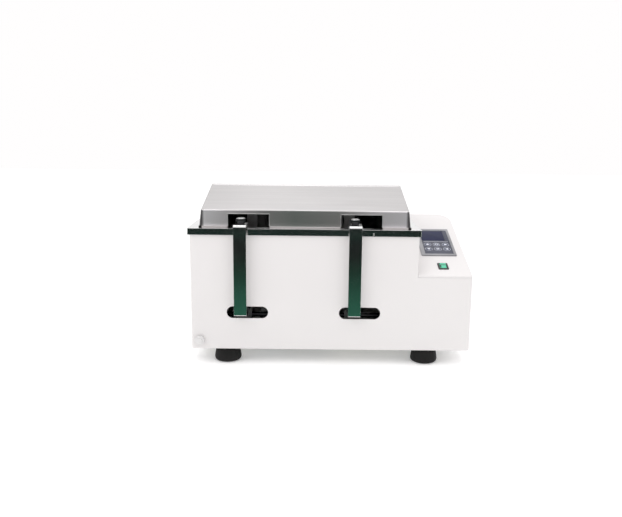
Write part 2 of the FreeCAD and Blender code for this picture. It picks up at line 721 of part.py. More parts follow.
def temperature_probe():
    stem = cylinder("probe_stem", 440, 175, 150, 4, 140, X_AXIS)
    tip = doc.addObject("Part::Sphere", "probe_tip")
    tip.Radius = 4
    place(tip, 440, 175, 150)
    return join("temperature_probe", stem, tip)


def drain_pipe():
    """From the tank's floor down and forward to the drain outlet in the front."""
    down = cylinder("drain_down", 60, 50, 40, 4.9, 84)
    forward = cylinder("drain_forward", 21.5, 0.5, 24, 8, 50, Y_AXIS)
    elbow = box("drain_elbow", 14, 40, 16, 54, 20, 26)
    return join("drain_pipe", down, forward, elbow)


def drain_cap():
    disc = cylinder("cap_disc", 21.5, -10, 24, 12.5, 9.5, Y_AXIS)
    nose = cylinder("cap_nose", 21.5, -14, 24, 6.5, 5, Y_AXIS)
    grips = [cylinder("cap_grip", 21.5 + 12.5 * math.cos(a), -11, 24 + 12.5 * math.sin(a), 1.6, 12, Y_AXIS)
             for a in (math.pi / 6 * n for n in range(12))]
    return cut("drain_cap", join("cap_whole", disc, nose), *grips)


# --- console fittings ----------------------------------------------------------------------

def display_bezel():
    frame = console_box("bezel_frame", CONSOLE_MIDDLE, BEZEL["middle"], 0.05, BEZEL["wide"], BEZEL["deep"], 3)
    hole = console_box("bezel_hole", CONSOLE_MIDDLE + 2, PANEL["middle"], -5, PANEL["wide"], PANEL["deep"], 12)
    return cut("display_bezel", frame, hole)


def keypad_panel():
    sheet_piece = console_box("panel_sheet", CONSOLE_MIDDLE + 2, PANEL["middle"], 0.05,
                              PANEL["wide"] - 0.4, PANEL["deep"] - 0.4, 2)
    holes = [console_cylinder("panel_key_hole", x, s, -5, KEY_RADIUS + 0.3, 12) for x, s in KEY_PLACES]
    window = console_box("panel_window", WINDOW["x"], WINDOW["middle"], -5, WINDOW["wide"], WINDOW["deep"], 12)
    return cut("keypad_panel", sheet_piece, *holes, window)


def display_window():
    glass = console_box("display_window", WINDOW["x"], WINDOW["middle"], 0.05, WINDOW["wide"] - 0.4,
                        WINDOW["deep"] - 0.4, 1.6)
    glass.Label = "display_window"
    return glass


def key(number, x, up_slope):
    cap = console_cylinder(f"key_{number}", x, up_slope, -1.5, KEY_RADIUS, 4)
    cap.Label = f"key_{number}"
    return cap


def switch_housing():
    flange = console_box("switch_flange", SWITCH["x"], SWITCH["middle"], 0.05, SWITCH["wide"], SWITCH["deep"], 2)
    shell = console_box("switch_shell", SWITCH["x"], SWITCH["middle"], -22, 22, 28, 22.1)
    well = console_box("switch_well", SWITCH["x"], SWITCH["middle"], -12, 17, 22, 30)
    return cut("switch_housing", join("switch_whole", flange, shell), well)


def switch_rocker():
    """Paddle on its own pin, tilted to its on side."""
    body = doc.addObject("Part::Box", "rocker_paddle")
    body.Length, body.Width, body.Height = 16, 20, 6
    angle = math.radians(SLOPE_ANGLE)
    pivot = V(SWITCH["x"], SWITCH["middle"] * math.cos(angle), dim("console_front") +
              SWITCH["middle"] * math.sin(angle))
    turn = FreeCAD.Rotation(X_AXIS, SLOPE_ANGLE + 7)
    corner = turn.multVec(V(-8, -10, -2.5))
    shift = V(-dim("centre_x"), -dim("centre_y"), dim("foot_height"))
    body.Placement = FreeCAD.Placement(pivot + corner + shift, turn)
    body.Label = "switch_rocker"
    return body


# --- electric side -------------------------------------------------------------------------

def control_board():
    board = console_box("board_sheet", 634, PANEL["middle"], -16, 86, 120, 1.6)
    chips = [console_box("board_chip", x, s, -14.6, 14, 10, 3) for x, s in ((615, 150), (650, 150), (632, 210))]
    return join("control_board", board, *chips)


def transformer():
    core = box("transformer_core", 600, 60, "wall + 2", 60, 46, 52)
    coil = block("transformer_coil", 610, 50, "wall + 10", 40, 66, 36, (6, 6, 6, 6))
    return join("transformer", core, coil)


def solid_state_relay():
    base = box("relay_body", 600, 170, "wall + 2", 45, 58, 22)
    fins = [box("relay_fin", 604 + 7 * n, 172, "wall + 20", 2, 54, 26) for n in range(6)]
    return join("solid_state_relay", base, *fins)


def power_inlet():
    """Three-pin appliance inlet in the rear panel."""
    flange = box("inlet_flange", 590, "case_deep - wall - 0.1", 96, 40, 3, 29)
    shell = box("inlet_shell", 596.2, "case_deep - 24", 100.2, 27.6, 23, 20.6)
    cavity = box("inlet_cavity", 598, "case_deep - 18", 102, 24, 30, 17)
    pins = [box("inlet_pin", x, "case_deep - 19", z, 2, 15, 4) for x, z in ((602, 104), (609, 109), (616, 104))]
    return join("power_inlet", cut("inlet_case", join("inlet_whole", flange, shell), cavity), *pins)


def rear_screws():
    spots = [(14, z) for z in (30, 150, 280)] + [(657, z) for z in (30, 150, 260)]
    return group("rear_screws", *[cylinder("rear_screw", x, "case_deep", z, 3.5, 2, Y_AXIS) for x, z in spots])


for make in (outer_casing, rear_panel, base_plate, bulkhead, console_cover, foot_screws, tank,
             insulation_pads, lid, lid_pads, platform_hangers, shaking_platform, flask_clips,
             carriage_frame, bearing_blocks, arm_bolts, rod_supports, con_rod, crank_disc, gearbox,
             drive_motor, motor_bracket, heater_element, heater_glands, temperature_probe, drain_pipe,
             drain_cap, display_bezel, keypad_panel, display_window, switch_housing, switch_rocker,
             control_board, transformer, solid_state_relay, power_inlet, rear_screws):
    keep(make())
feet()
keep(guide_rod("front_guide_rod", "rod_front"))
keep(guide_rod("rear_guide_rod", "rod_back"))
for side in ("front", "rear"):
    for hand, middle in ARM_SIDES.items():
        keep(arm(f"{side}_{hand}_arm", side, middle))
        keep(knob(f"{side}_{hand}_knob", side, middle))
for number, (x, up_slope) in enumerate(KEY_PLACES, start=1):
    keep(key(number, x, up_slope))

doc.recompute()
for thing in doc.Objects:
    if "Invalid" in thing.State or "Error" in thing.State:
        raise RuntimeError(thing.Label + " failed: " + str(thing.State))
os.makedirs("parts", exist_ok=True)
for thing in SUB_PARTS:
    if thing.Shape.isNull() or not thing.Shape.isValid():
        raise RuntimeError(thing.Label + " has no valid shape")
    thing.Shape.exportStep(os.path.join("parts", thing.Label + ".step"))
    print(thing.Label, len(thing.Shape.Solids), round(thing.Shape.Volume))
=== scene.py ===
import json
import math

import bmesh
import bpy
from mathutils import Matrix, Vector


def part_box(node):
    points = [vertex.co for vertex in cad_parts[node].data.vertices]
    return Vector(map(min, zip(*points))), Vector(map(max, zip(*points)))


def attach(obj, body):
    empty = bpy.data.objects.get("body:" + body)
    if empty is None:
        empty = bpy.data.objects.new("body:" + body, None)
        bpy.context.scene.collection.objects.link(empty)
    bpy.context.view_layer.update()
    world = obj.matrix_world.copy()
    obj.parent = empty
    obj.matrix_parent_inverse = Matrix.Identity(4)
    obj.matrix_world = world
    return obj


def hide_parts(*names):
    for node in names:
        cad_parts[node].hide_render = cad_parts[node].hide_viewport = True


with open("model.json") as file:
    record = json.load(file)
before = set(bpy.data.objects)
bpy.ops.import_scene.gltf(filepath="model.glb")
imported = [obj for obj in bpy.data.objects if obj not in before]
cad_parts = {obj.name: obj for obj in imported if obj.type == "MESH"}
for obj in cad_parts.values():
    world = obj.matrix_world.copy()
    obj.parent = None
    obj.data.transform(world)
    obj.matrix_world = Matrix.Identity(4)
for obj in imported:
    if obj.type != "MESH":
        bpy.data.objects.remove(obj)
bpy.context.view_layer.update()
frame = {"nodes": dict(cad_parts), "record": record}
nodes = frame["nodes"]
MM = 0.001


# --- camera and studio ---------------------------------------------------------------------

LENS_MM = 39.64
CAMERA_SPOT = Vector((-0.0409, -1.8314, 0.5779))
CAMERA_DOWN = math.radians(10.58)
CAMERA_RIGHT = math.radians(0.38)
CAMERA_ROLL = math.radians(0.68)
CAMERA_SHIFT_X, CAMERA_SHIFT_Y = -0.0127, 0.0013


def make_camera():
    """Looks down on the front from slightly left of the middle."""
    forward = Vector((math.sin(CAMERA_RIGHT) * math.cos(CAMERA_DOWN),
                      math.cos(CAMERA_RIGHT) * math.cos(CAMERA_DOWN), -math.sin(CAMERA_DOWN)))
    level = Vector((math.cos(CAMERA_RIGHT), -math.sin(CAMERA_RIGHT), 0))
    upright = level.cross(forward)
    right = level * math.cos(CAMERA_ROLL) + upright * math.sin(CAMERA_ROLL)
    up = upright * math.cos(CAMERA_ROLL) - level * math.sin(CAMERA_ROLL)
    camera = bpy.data.objects.new("camera", bpy.data.cameras.new("camera"))
    bpy.context.scene.collection.objects.link(camera)
    camera.data.lens = LENS_MM
    camera.data.shift_x = CAMERA_SHIFT_X
    camera.data.shift_y = CAMERA_SHIFT_Y
    turn = Matrix((right, up, -forward)).transposed().to_4x4()
    camera.matrix_world = Matrix.Translation(CAMERA_SPOT) @ turn
    bpy.context.scene.camera = camera


def soft_light(name, spot, target, wide, high, power):
    lamp = bpy.data.lights.new(name, "AREA")
    lamp.shape = "RECTANGLE"
    lamp.size = wide
    lamp.size_y = high
    lamp.energy = power
    light = bpy.data.objects.new(name, lamp)
    bpy.context.scene.collection.objects.link(light)
    light.location = spot
    light.rotation_euler = (Vector(target) - Vector(spot)).to_track_quat("-Z", "Y").to_euler()


def mesh_object(name, bm, smooth=True):
    mesh = bpy.data.meshes.new(name)
    bm.normal_update()
    bm.to_mesh(mesh)
    bm.free()
    for face in mesh.polygons:
        face.use_smooth = smooth
    made = bpy.data.objects.new(name, mesh)
    bpy.context.scene.collection.objects.link(made)
    return made


def flat_card(name, x0, x1, y0, y1, z, material):
    bm = bmesh.new()
    corners = ((x0, y0, z), (x1, y0, z), (x1, y1, z), (x0, y1, z))
    bm.faces.new([bm.verts.new(corner) for corner in corners])
    card = mesh_object(name, bm, smooth=False)
    card.data.materials.append(material)
    return card


# Distances in metres from the object's middle, before or behind it.
CLOSE_BY, FAR_OFF = 0.55, 3.1


def dark_floor():
    """What polished steel mirrors before and behind: a floor green close by, black further off."""
    s = Surface("reflected_floor").finish((0.01, 0.02, 0.015, 1), 0.9, Specular_IOR_Level=0.0)
    split = s.node("ShaderNodeSeparateXYZ")
    s.link(s.place, split.inputs["Vector"])
    span = s.node("ShaderNodeMapRange")
    span.inputs["From Min"].default_value = FAR_OFF
    span.inputs["From Max"].default_value = CLOSE_BY
    away = s.node("ShaderNodeMath", operation="ABSOLUTE")
    s.link(split.outputs["Y"], away.inputs[0])
    s.link(away.outputs["Value"], span.inputs["Value"])
    stops = [
        (0.0, (0.008, 0.007, 0.008, 1)),
        (0.18, (0.012, 0.011, 0.012, 1)),
        (0.26, (0.012, 0.036, 0.027, 1)),
        (0.36, (0.013, 0.014, 0.014, 1)),
        (0.55, (0.013, 0.017, 0.015, 1)),
        (0.72, (0.015, 0.040, 0.028, 1)),
        (0.95, (0.024, 0.098, 0.064, 1)),
    ]
    color = s.ramp(span.outputs["Result"], stops)
    s.link(color, s.shader.inputs["Base Color"])
    return s.material


FLOOR_HALF, FLOOR_HEIGHT = 8, -0.0004
CARD_HALF, CARD_NEAR, CARD_FAR, CARD_HEIGHT = 2.6, 0.24, 6, 0.001


def make_studio():
    """White surroundings, two soft lamps, a pale floor and the cards that only reflections see."""
    world = bpy.data.worlds.new("studio")
    bpy.context.scene.world = world
    world.use_nodes = True
    world.node_tree.nodes["Background"].inputs["Color"].default_value = (1.0, 0.99, 0.99, 1)
    world.node_tree.nodes["Background"].inputs["Strength"].default_value = 1.0
    soft_light("key_light", (-1.5, -1.8, 2.4), (0, 0, 0.2), 1.8, 1.8, 10)
    soft_light("top_light", (0.2, 0.3, 2.6), (0, 0, 0.1), 2.4, 1.6, 20)
    pale = Surface("floor").finish((0.95, 0.95, 0.95, 1), 0.9,
                                   Emission_Color=(1, 1, 1, 1), Emission_Strength=0.22)
    pale.bump(pale.noise(60), 0.0002, 0.2)
    flat_card("floor", -FLOOR_HALF, FLOOR_HALF, -FLOOR_HALF, FLOOR_HALF, FLOOR_HEIGHT, pale.material)
    mirrored = dark_floor()
    for name, side in (("reflected_floor_front", -1), ("reflected_floor_rear", 1)):
        near, far = side * CARD_NEAR, side * CARD_FAR
        card = flat_card(name, -CARD_HALF, CARD_HALF, near, far, CARD_HEIGHT, mirrored)
        card.visible_camera = False
        card.visible_diffuse = False
        card.visible_shadow = False
        card.visible_transmission = False
    bpy.context.scene.view_settings.view_transform = "Standard"


# --- materials -----------------------------------------------------------------------------

class Surface:
    """A procedural material built up from a Principled shader in the object's own coordinates."""

    def __init__(self, name):
        self.material = bpy.data.materials.new(name)
        self.material.use_nodes = True
        self.tree = self.material.node_tree
        self.shader = self.tree.nodes["Principled BSDF"]
        self.place = self.tree.nodes.new("ShaderNodeTexCoord").outputs["Object"]
        self.normal = None

    def node(self, kind, **settings):
        made = self.tree.nodes.new(kind)
        for key, value in settings.items():
            setattr(made, key, value)
        return made

    def link(self, start, end):
        self.tree.links.new(start, end)

    def finish(self, color, rough, metal=0.0, **sockets):
        self.shader.inputs["Base Color"].default_value = color
        self.shader.inputs["Roughness"].default_value = rough
        self.shader.inputs["Metallic"].default_value = metal
        for socket, value in sockets.items():
            self.shader.inputs[socket.replace("_", " ")].default_value = value
        return self

    def scaled(self, stretch):
        mapping = self.node("ShaderNodeMapping")
        mapping.inputs["Scale"].default_value = stretch
        self.link(self.place, mapping.inputs["Vector"])
        return mapping.outputs["Vector"]

    def noise(self, scale, stretch=(1, 1, 1), detail=4.0):
        grain = self.node("ShaderNodeTexNoise")
        grain.inputs["Scale"].default_value = scale
        grain.inputs["Detail"].default_value = detail
        self.link(self.scaled(stretch), grain.inputs["Vector"])
        return grain.outputs["Fac"]

    def ramp(self, factor, stops):
        """Colours at positions from 0 to 1."""
        made = self.node("ShaderNodeValToRGB")
        band = made.color_ramp
        while len(band.elements) < len(stops):
            band.elements.new(0.5)
        for element, (spot, color) in zip(band.elements, stops):
            element.position = spot
            element.color = color
        self.link(factor, made.inputs["Fac"])
        return made.outputs["Color"]

    def vary_color(self, factor, low, high):
        self.link(self.ramp(factor, [(0.3, low), (0.7, high)]), self.shader.inputs["Base Color"])
        return self

    def vary_rough(self, factor, low, high):
        spread = self.node("ShaderNodeMapRange")
        spread.inputs["To Min"].default_value = low
        spread.inputs["To Max"].default_value = high
        self.link(factor, spread.inputs["Value"])
        self.link(spread.outputs["Result"], self.shader.inputs["Roughness"])
        return self

    def soften(self, radius):
        """Rounds sharp edges in the shading only, as a folded or moulded edge is."""
        made = self.node("ShaderNodeBevel")
        made.samples = 4
        made.inputs["Radius"].default_value = radius
        self.normal = made.outputs["Normal"]
        self.link(self.normal, self.shader.inputs["Normal"])
        return self

    def bump(self, height, depth, strength=1.0):
        made = self.node("ShaderNodeBump")
        made.inputs["Distance"].default_value = depth
        made.inputs["Strength"].default_value = strength
        self.link(height, made.inputs["Height"])
        if self.normal:
            self.link(self.normal, made.inputs["Normal"])
        self.normal = made.outputs["Normal"]
        self.link(self.normal, self.shader.inputs["Normal"])
        return self


def white_paint():
    """Powder coat: fine orange peel, very slight cloudiness."""
    s = Surface("white_paint").finish((0.73, 0.712, 0.708, 1), 0.38).soften(0.0012)
    s.vary_color(s.noise(3.0, detail=2.0), (0.72, 0.698, 0.697, 1), (0.745, 0.725, 0.722, 1))
    s.vary_rough(s.noise(25), 0.30, 0.46)
    return s.bump(s.noise(900, detail=1.0), 0.00006, 0.35).material


GRAIN = (1, 220, 220)
HANDLING_MARKS = (1, 3, 3)


def satin_steel():
    """Brushed stainless with streaks along X and a few handling marks."""
    tone = 0.66
    s = Surface("stainless_satin").finish((tone, tone, tone, 1), 0.3, 1.0).soften(0.0012)
    streaks = s.noise(6, GRAIN, 6.0)
    dull = (tone - 0.05, tone - 0.055, tone - 0.06, 1)
    bright = (tone + 0.04, tone + 0.04, tone + 0.04, 1)
    s.vary_color(streaks, dull, bright)
    s.vary_rough(s.noise(9, HANDLING_MARKS), 0.24, 0.36)
    return s.bump(streaks, 0.00002, 0.25).material


# The lid's ends in metres from the object's middle.
LID_LEFT, LID_RIGHT = -0.32575, 0.19625
# Painted dark reflections on the lid's rounded end corners.
LID_END_PAINTED_REFLECTION = (0.12, 0.115, 0.12, 1)
LID_CORNER_PAINTED_REFLECTION = (0.14, 0.135, 0.14, 1)
# The places of a colour mix's sockets, whose names aren't unique.
MIX_FACTOR, MIX_FIRST, MIX_SECOND, MIX_COLOR = 0, 6, 7, 2


def lid_steel_painted_reflection():
    """Satin stainless whose upright faces carry a painted reflection: dark in the middle, lighter towards
    both ends, with painted highlights and dark painted reflections at the rounded end corners.
    """
    s = Surface("lid_steel_painted_reflection").finish((0.66, 0.655, 0.655, 1), 0.3, 1.0).soften(0.0012)
    split = s.node("ShaderNodeSeparateXYZ")
    s.link(s.place, split.inputs["Vector"])
    across = s.node("ShaderNodeMapRange")
    across.inputs["From Min"].default_value = LID_LEFT
    across.inputs["From Max"].default_value = LID_RIGHT
    s.link(split.outputs["X"], across.inputs["Value"])
    # Painted reflection across the upright faces from left end to right: dark corners, a painted
    # highlight just inside each, darkest in the middle.
    stops = [
        (0.0, LID_END_PAINTED_REFLECTION),
        (0.014, LID_CORNER_PAINTED_REFLECTION),
        (0.022, (0.86, 0.84, 0.86, 1)),
        (0.11, (0.70, 0.675, 0.69, 1)),
        (0.30, (0.32, 0.315, 0.31, 1)),
        (0.45, (0.245, 0.265, 0.250, 1)),
        (0.66, (0.33, 0.325, 0.32, 1)),
        (0.86, (0.72, 0.69, 0.71, 1)),
        (0.978, (0.84, 0.81, 0.84, 1)),
        (0.986, LID_CORNER_PAINTED_REFLECTION),
        (1.0, LID_END_PAINTED_REFLECTION),
    ]
    upright = s.ramp(across.outputs["Result"], stops)
    slant = s.node("ShaderNodeSeparateXYZ")
    s.link(s.tree.nodes["Texture Coordinate"].outputs["Normal"], slant.inputs["Vector"])
    lying = s.node("ShaderNodeMapRange")
    lying.inputs["From Min"].default_value = 0.35
    lying.inputs["From Max"].default_value = 0.75
    s.link(slant.outputs["Z"], lying.inputs["Value"])
    roof_stops = [(0.3, (0.505, 0.494, 0.494, 1)), (0.7, (0.550, 0.538, 0.538, 1))]
    roof = s.ramp(s.noise(4, (1, 60, 60), 3.0), roof_stops)
    # Upright faces take the painted reflection, lying faces a plain brushed tone.
    blend = s.node("ShaderNodeMix", data_type="RGBA")
    s.link(lying.outputs["Result"], blend.inputs[MIX_FACTOR])
    s.link(upright, blend.inputs[MIX_FIRST])
    s.link(roof, blend.inputs[MIX_SECOND])
    s.link(blend.outputs[MIX_COLOR], s.shader.inputs["Base Color"])
    s.vary_rough(s.noise(9, HANDLING_MARKS), 0.28, 0.40)
    return s.bump(s.noise(6, GRAIN, 6.0), 0.00002, 0.15).material


def mirror_steel():
    """Polished stainless with faint smudges and the slow waviness of thin sheet."""
    s = Surface("stainless_mirror").finish((0.78, 0.78, 0.78, 1), 0.07, 1.0).soften(0.001)
    s.vary_color(s.noise(30), (0.72, 0.73, 0.72, 1), (0.80, 0.80, 0.80, 1))
    s.vary_rough(s.noise(45), 0.045, 0.13)
    return s.bump(s.noise(14, detail=1.0), 0.0004, 0.12).material


def chrome():
    """Bright plating with slightly uneven gloss."""
    s = Surface("chrome").finish((0.82, 0.82, 0.82, 1), 0.1, 1.0).soften(0.0004)
    s.vary_rough(s.noise(120), 0.07, 0.18)
    return s.bump(s.noise(400), 0.00002, 0.2).material


def zinc_sheet():
    """Zinc plating with its cloudy blue and yellow cast."""
    s = Surface("zinc_sheet").finish((0.6, 0.6, 0.58, 1), 0.4, 1.0).soften(0.0006)
    s.vary_color(s.noise(18), (0.52, 0.55, 0.58, 1), (0.66, 0.64, 0.56, 1))
    s.vary_rough(s.noise(60), 0.3, 0.5)
    return s.bump(s.noise(300), 0.00003, 0.3).material


def plain_cover(name, low, high, rough, grain, depth, soft=0.0006, **sockets):
    """Moulded or painted cover: two close tones, uneven gloss and a fine grain."""
    s = Surface(name).finish(low, rough, **sockets).soften(soft)
    s.vary_color(s.noise(20), low, high)
    s.vary_rough(s.noise(70), rough - 0.06, rough + 0.08)
    return s.bump(s.noise(grain, detail=2.0), depth, 0.4).material


def mineral_wool():
    """Yellowish fibres, matt and rough."""
    s = Surface("mineral_wool").finish((0.7, 0.6, 0.35, 1), 0.95)
    fibres = s.noise(160, (1, 5, 1), 8.0)
    s.vary_color(fibres, (0.5, 0.42, 0.22, 1), (0.8, 0.72, 0.5, 1))
    return s.bump(fibres, 0.002, 0.8).material


def circuit_board():
    """Solder mask with copper tracks showing through."""
    s = Surface("circuit_board").finish((0.02, 0.2, 0.07, 1), 0.35)
    tracks = s.node("ShaderNodeTexBrick")
    tracks.inputs["Scale"].default_value = 120
    tracks.inputs["Mortar Size"].default_value = 0.03
    tracks.inputs["Color1"].default_value = (0.015, 0.16, 0.05, 1)
    tracks.inputs["Color2"].default_value = (0.02, 0.2, 0.07, 1)
    tracks.inputs["Mortar"].default_value = (0.12, 0.3, 0.1, 1)
    s.link(s.place, tracks.inputs["Vector"])
    s.link(tracks.outputs["Color"], s.shader.inputs["Base Color"])
    return s.bump(tracks.outputs["Fac"], 0.0002, 0.3).material


MATERIALS = {
    "white_paint": white_paint(),
    "stainless_satin": satin_steel(),
    "lid_steel_painted_reflection": lid_steel_painted_reflection(),
    "knob_metal": plain_cover(
        "knob_metal", (0.045, 0.045, 0.048, 1), (0.085, 0.085, 0.09, 1), 0.22, 300, 0.00002,
        soft=0.0003, metal=1.0),
    # Pale strip in the gap under the lid: a painted highlight standing in for the lit rim top.
    "gap_strip_painted_highlight": plain_cover(
        "gap_strip_painted_highlight", (0.62, 0.58, 0.58, 1), (0.68, 0.64, 0.64, 1), 0.5, 300, 0.00003),
    "stainless_mirror": mirror_steel(),
    "chrome": chrome(),
    "zinc_sheet": zinc_sheet(),
    "mineral_wool": mineral_wool(),
    "circuit_board": circuit_board(),
    "black_rubber": plain_cover(
        "black_rubber", (0.006, 0.006, 0.006, 1), (0.012, 0.0115, 0.011, 1), 0.6, 600, 0.0001,
        Specular_IOR_Level=0.2),
    "brass_fitting": plain_cover(
        "brass_fitting", (0.6, 0.42, 0.16, 1), (0.72, 0.53, 0.24, 1), 0.28, 300, 0.00003, metal=1.0),
    "motor_enamel": plain_cover(
        "motor_enamel", (0.03, 0.034, 0.04, 1), (0.05, 0.055, 0.06, 1), 0.4, 500, 0.0001),
    "white_plastic": plain_cover(
        "white_plastic", (0.66, 0.65, 0.65, 1), (0.71, 0.70, 0.70, 1), 0.32, 500, 0.00004),
    "silver_frame": plain_cover(
        "silver_frame", (0.26, 0.26, 0.275, 1), (0.36, 0.36, 0.38, 1), 0.36, 900, 0.00003, metal=0.75),
    "navy_overlay": plain_cover(
        "navy_overlay", (0.050, 0.055, 0.080, 1), (0.075, 0.080, 0.110, 1), 0.40, 700, 0.00004,
        Specular_IOR_Level=0.3),
    "key_blue": plain_cover(
        "key_blue", (0.085, 0.095, 0.145, 1), (0.12, 0.13, 0.19, 1), 0.38, 700, 0.00004,
        Specular_IOR_Level=0.3),
    "display_glass": plain_cover(
        "display_glass", (0.007, 0.010, 0.042, 1), (0.012, 0.016, 0.060, 1), 0.30, 80, 0.00002,
        Specular_IOR_Level=0.12),
    "black_plastic": plain_cover(
        "black_plastic", (0.008, 0.008, 0.008, 1), (0.016, 0.016, 0.016, 1), 0.36, 800, 0.00006),
    "green_lens": plain_cover(
        "green_lens", (0.02, 0.34, 0.19, 1), (0.04, 0.44, 0.27, 1), 0.22, 300, 0.00003,
        Emission_Color=(0.14, 0.5, 0.32, 1), Emission_Strength=0.35),
    "print_white": plain_cover(
        "print_white", (0.72, 0.74, 0.82, 1), (0.84, 0.86, 0.92, 1), 0.5, 900, 0.00001),
}

# Finishes that the record doesn't have.
# CAD nodes that look different from the rest of their slot in the photo: the lid, with its painted
# reflection, and the guide rods, made near black as painted shade inside the slots.
OWN_FINISH = {"lid": "lid_steel_painted_reflection", "front_guide_rod": "knob_metal", "rear_guide_rod": "knob_metal"}

make_camera()
make_studio()
for part in frame["record"]["subparts"]:
    mesh = nodes[part["node"]].data
    mesh.materials.clear()
    mesh.materials.append(MATERIALS[OWN_FINISH.get(part["node"], part["material_slot"])])


# --- shapes built from rings ---------------------------------------------------------------

def rounded_ring(wide, deep, radius, height, steps=6):
    """Points round a rectangle with round corners, centred on the origin."""
    ring = []
    for quarter, (side_x, side_y) in enumerate(((1, 1), (-1, 1), (-1, -1), (1, -1))):
        centre = Vector((side_x * (wide / 2 - radius), side_y * (deep / 2 - radius), height))
        for step in range(steps + 1):
            angle = math.pi / 2 * (quarter + step / steps)
            ring.append(centre + radius * Vector((math.cos(angle), math.sin(angle), 0)))
    return ring


def round_ring(radius, height, segments=72, ribs=0, rib_depth=0.0):
    """Points round a circle, or round a wavy outline with ribs."""
    ring = []
    for step in range(segments):
        angle = 2 * math.pi * step / segments
        reach = radius - rib_depth * (0.5 - 0.5 * math.cos(ribs * angle))
        ring.append(Vector((reach * math.cos(angle), reach * math.sin(angle), height)))
    return ring


def add_rings(bm, rings, place=Matrix.Identity(4), closed=False):
    """Skins rings, given in millimetres, and caps the ends or joins the last ring to the first."""
    rows = [[bm.verts.new(place @ (point * MM)) for point in ring] for ring in rings]
    count = len(rows[0])
    pairs = list(zip(rows, rows[1:] + rows[:1])) if closed else list(zip(rows, rows[1:]))
    for low, high in pairs:
        for index in range(count):
            after = (index + 1) % count
            bm.faces.new((low[index], low[after], high[after], high[index]))
    if not closed:
        bm.faces.new(list(reversed(rows[0])))
        bm.faces.new(rows[-1])


def add_bar(bm, low, high, place=Matrix.Identity(4), round_edge=0.3):
    """A bar between two corners in millimetres, with its edges rounded or chamfered."""
    size = [b - a for a, b in zip(low, high)]
    edge = min(round_edge, min(size) * 0.45)
    middle = Vector([(a + b) / 2 for a, b in zip(low, high)])
    rings = []
    half = size[2] / 2
    for height, inset in ((-half, edge), (-half + edge, 0), (half - edge, 0), (half, edge)):
        ring = rounded_ring(size[0] - 2 * inset, size[1] - 2 * inset, edge, height, 2)
        rings.append([middle + point for point in ring])
    add_rings(bm, rings, place)


SHARP_EDGE = math.radians(30)


def finish_piece(name, bm, material, body, *replaced):
    """Makes a mesh into a piece that rides on a body and may stand for CAD nodes."""
    bmesh.ops.recalc_face_normals(bm, faces=bm.faces)
    piece = mesh_object(name, bm)
    piece.data.materials.append(MATERIALS[material])
    with bpy.context.temp_override(object=piece, active_object=piece, selected_editable_objects=[piece]):
        bpy.ops.object.shade_smooth_by_angle(angle=SHARP_EDGE)
    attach(piece, body)
    if replaced:
        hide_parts(*replaced)


# --- where things are ----------------------------------------------------------------------

CENTRE_X, CENTRE_Y, FOOT_HIGH = 347.75, 175.0, 36.0
CONSOLE_FRONT, CONSOLE_BACK, CASE_DEEP = 194.0, 307.0, 350.0
CONSOLE_TILT = math.atan((CONSOLE_BACK - CONSOLE_FRONT) / CASE_DEEP)


def at(x, y, z, turn=Matrix.Identity(4)):
    """A place given in millimetres from the casing's front left bottom corner."""
    return Matrix.Translation(Vector((x - CENTRE_X, y - CENTRE_Y, z + FOOT_HIGH)) * MM) @ turn


def on_console(x, up_slope, extra_tilt=0.0):
    """A place on the sloping console: x across it, up_slope from its front edge."""
    y = up_slope * math.cos(CONSOLE_TILT)
    z = CONSOLE_FRONT + up_slope * math.sin(CONSOLE_TILT)
    return at(x, y, z, Matrix.Rotation(CONSOLE_TILT + extra_tilt, 4, "X"))


def lowest_middle(node):
    """The middle of the bottom of a CAD node's box."""
    low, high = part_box(node)
    return Vector(((low.x + high.x) / 2, (low.y + high.y) / 2, low.z))


# --- feet, knobs and drain cap -------------------------------------------------------------

def rubber_feet():
    """Flared round feet with a screw recess below."""
    profile = [(29, 0), (30.2, -3), (31, -8), (32.4, -15), (33.4, -21), (34, -25.5), (33.8, -28.5),
               (32.8, -31.5), (30.5, -34), (27.5, -35.4), (24, -36), (10, -36), (9, -35), (9, -16)]
    for side in ("front_left", "front_right", "rear_left", "rear_right"):
        node = side + "_foot"
        spot = lowest_middle(node)
        bm = bmesh.new()
        rings = [round_ring(radius, height) for radius, height in profile]
        add_rings(bm, rings, Matrix.Translation((spot.x, spot.y, FOOT_HIGH * MM)))
        finish_piece(side + "_rubber_foot", bm, "black_rubber", "casing", node)


KNOB_STEM = 8


def screw_knobs():
    """Dark knurled knobs with a bright ring round a dished top."""
    plain = [(0.5, -8), (3, -7.6), (3, 0.2), (8.4, 0.3), (9.2, 1), (9.2, 3.4), (10.2, 4.2), (11.6, 4.7)]
    grip = [(12.4, 5.6), (12.4, 11.6)]
    top = [(12.2, 12.4), (11.6, 12.9), (10.6, 12.6), (10.2, 11.2), (9.4, 10.2), (0.6, 10.2)]
    ring = [(10.6, 12.5), (10.8, 13.5), (11.3, 13.8), (11.9, 13.5), (12.2, 12.9), (11.8, 12.5)]
    rings = [round_ring(radius, height, 144) for radius, height in plain]
    rings += [round_ring(radius, height, 144, 36, 0.55) for radius, height in grip]
    rings += [round_ring(radius, height, 144) for radius, height in top]
    for side in ("front", "rear"):
        for hand in ("left", "right"):
            node = f"{side}_{hand}_knob"
            spot = lowest_middle(node)
            place = Matrix.Translation((spot.x, spot.y, spot.z + KNOB_STEM * MM))
            bm = bmesh.new()
            add_rings(bm, rings, place)
            finish_piece(f"{side}_{hand}_screw_knob", bm, "knob_metal", node, node)
            bm = bmesh.new()
            circles = [round_ring(radius, height, 96) for radius, height in ring]
            add_rings(bm, circles, place, closed=True)
            finish_piece(f"{side}_{hand}_knob_ring", bm, "chrome", node)


DRAIN_X, DRAIN_Z = 21.5, 24


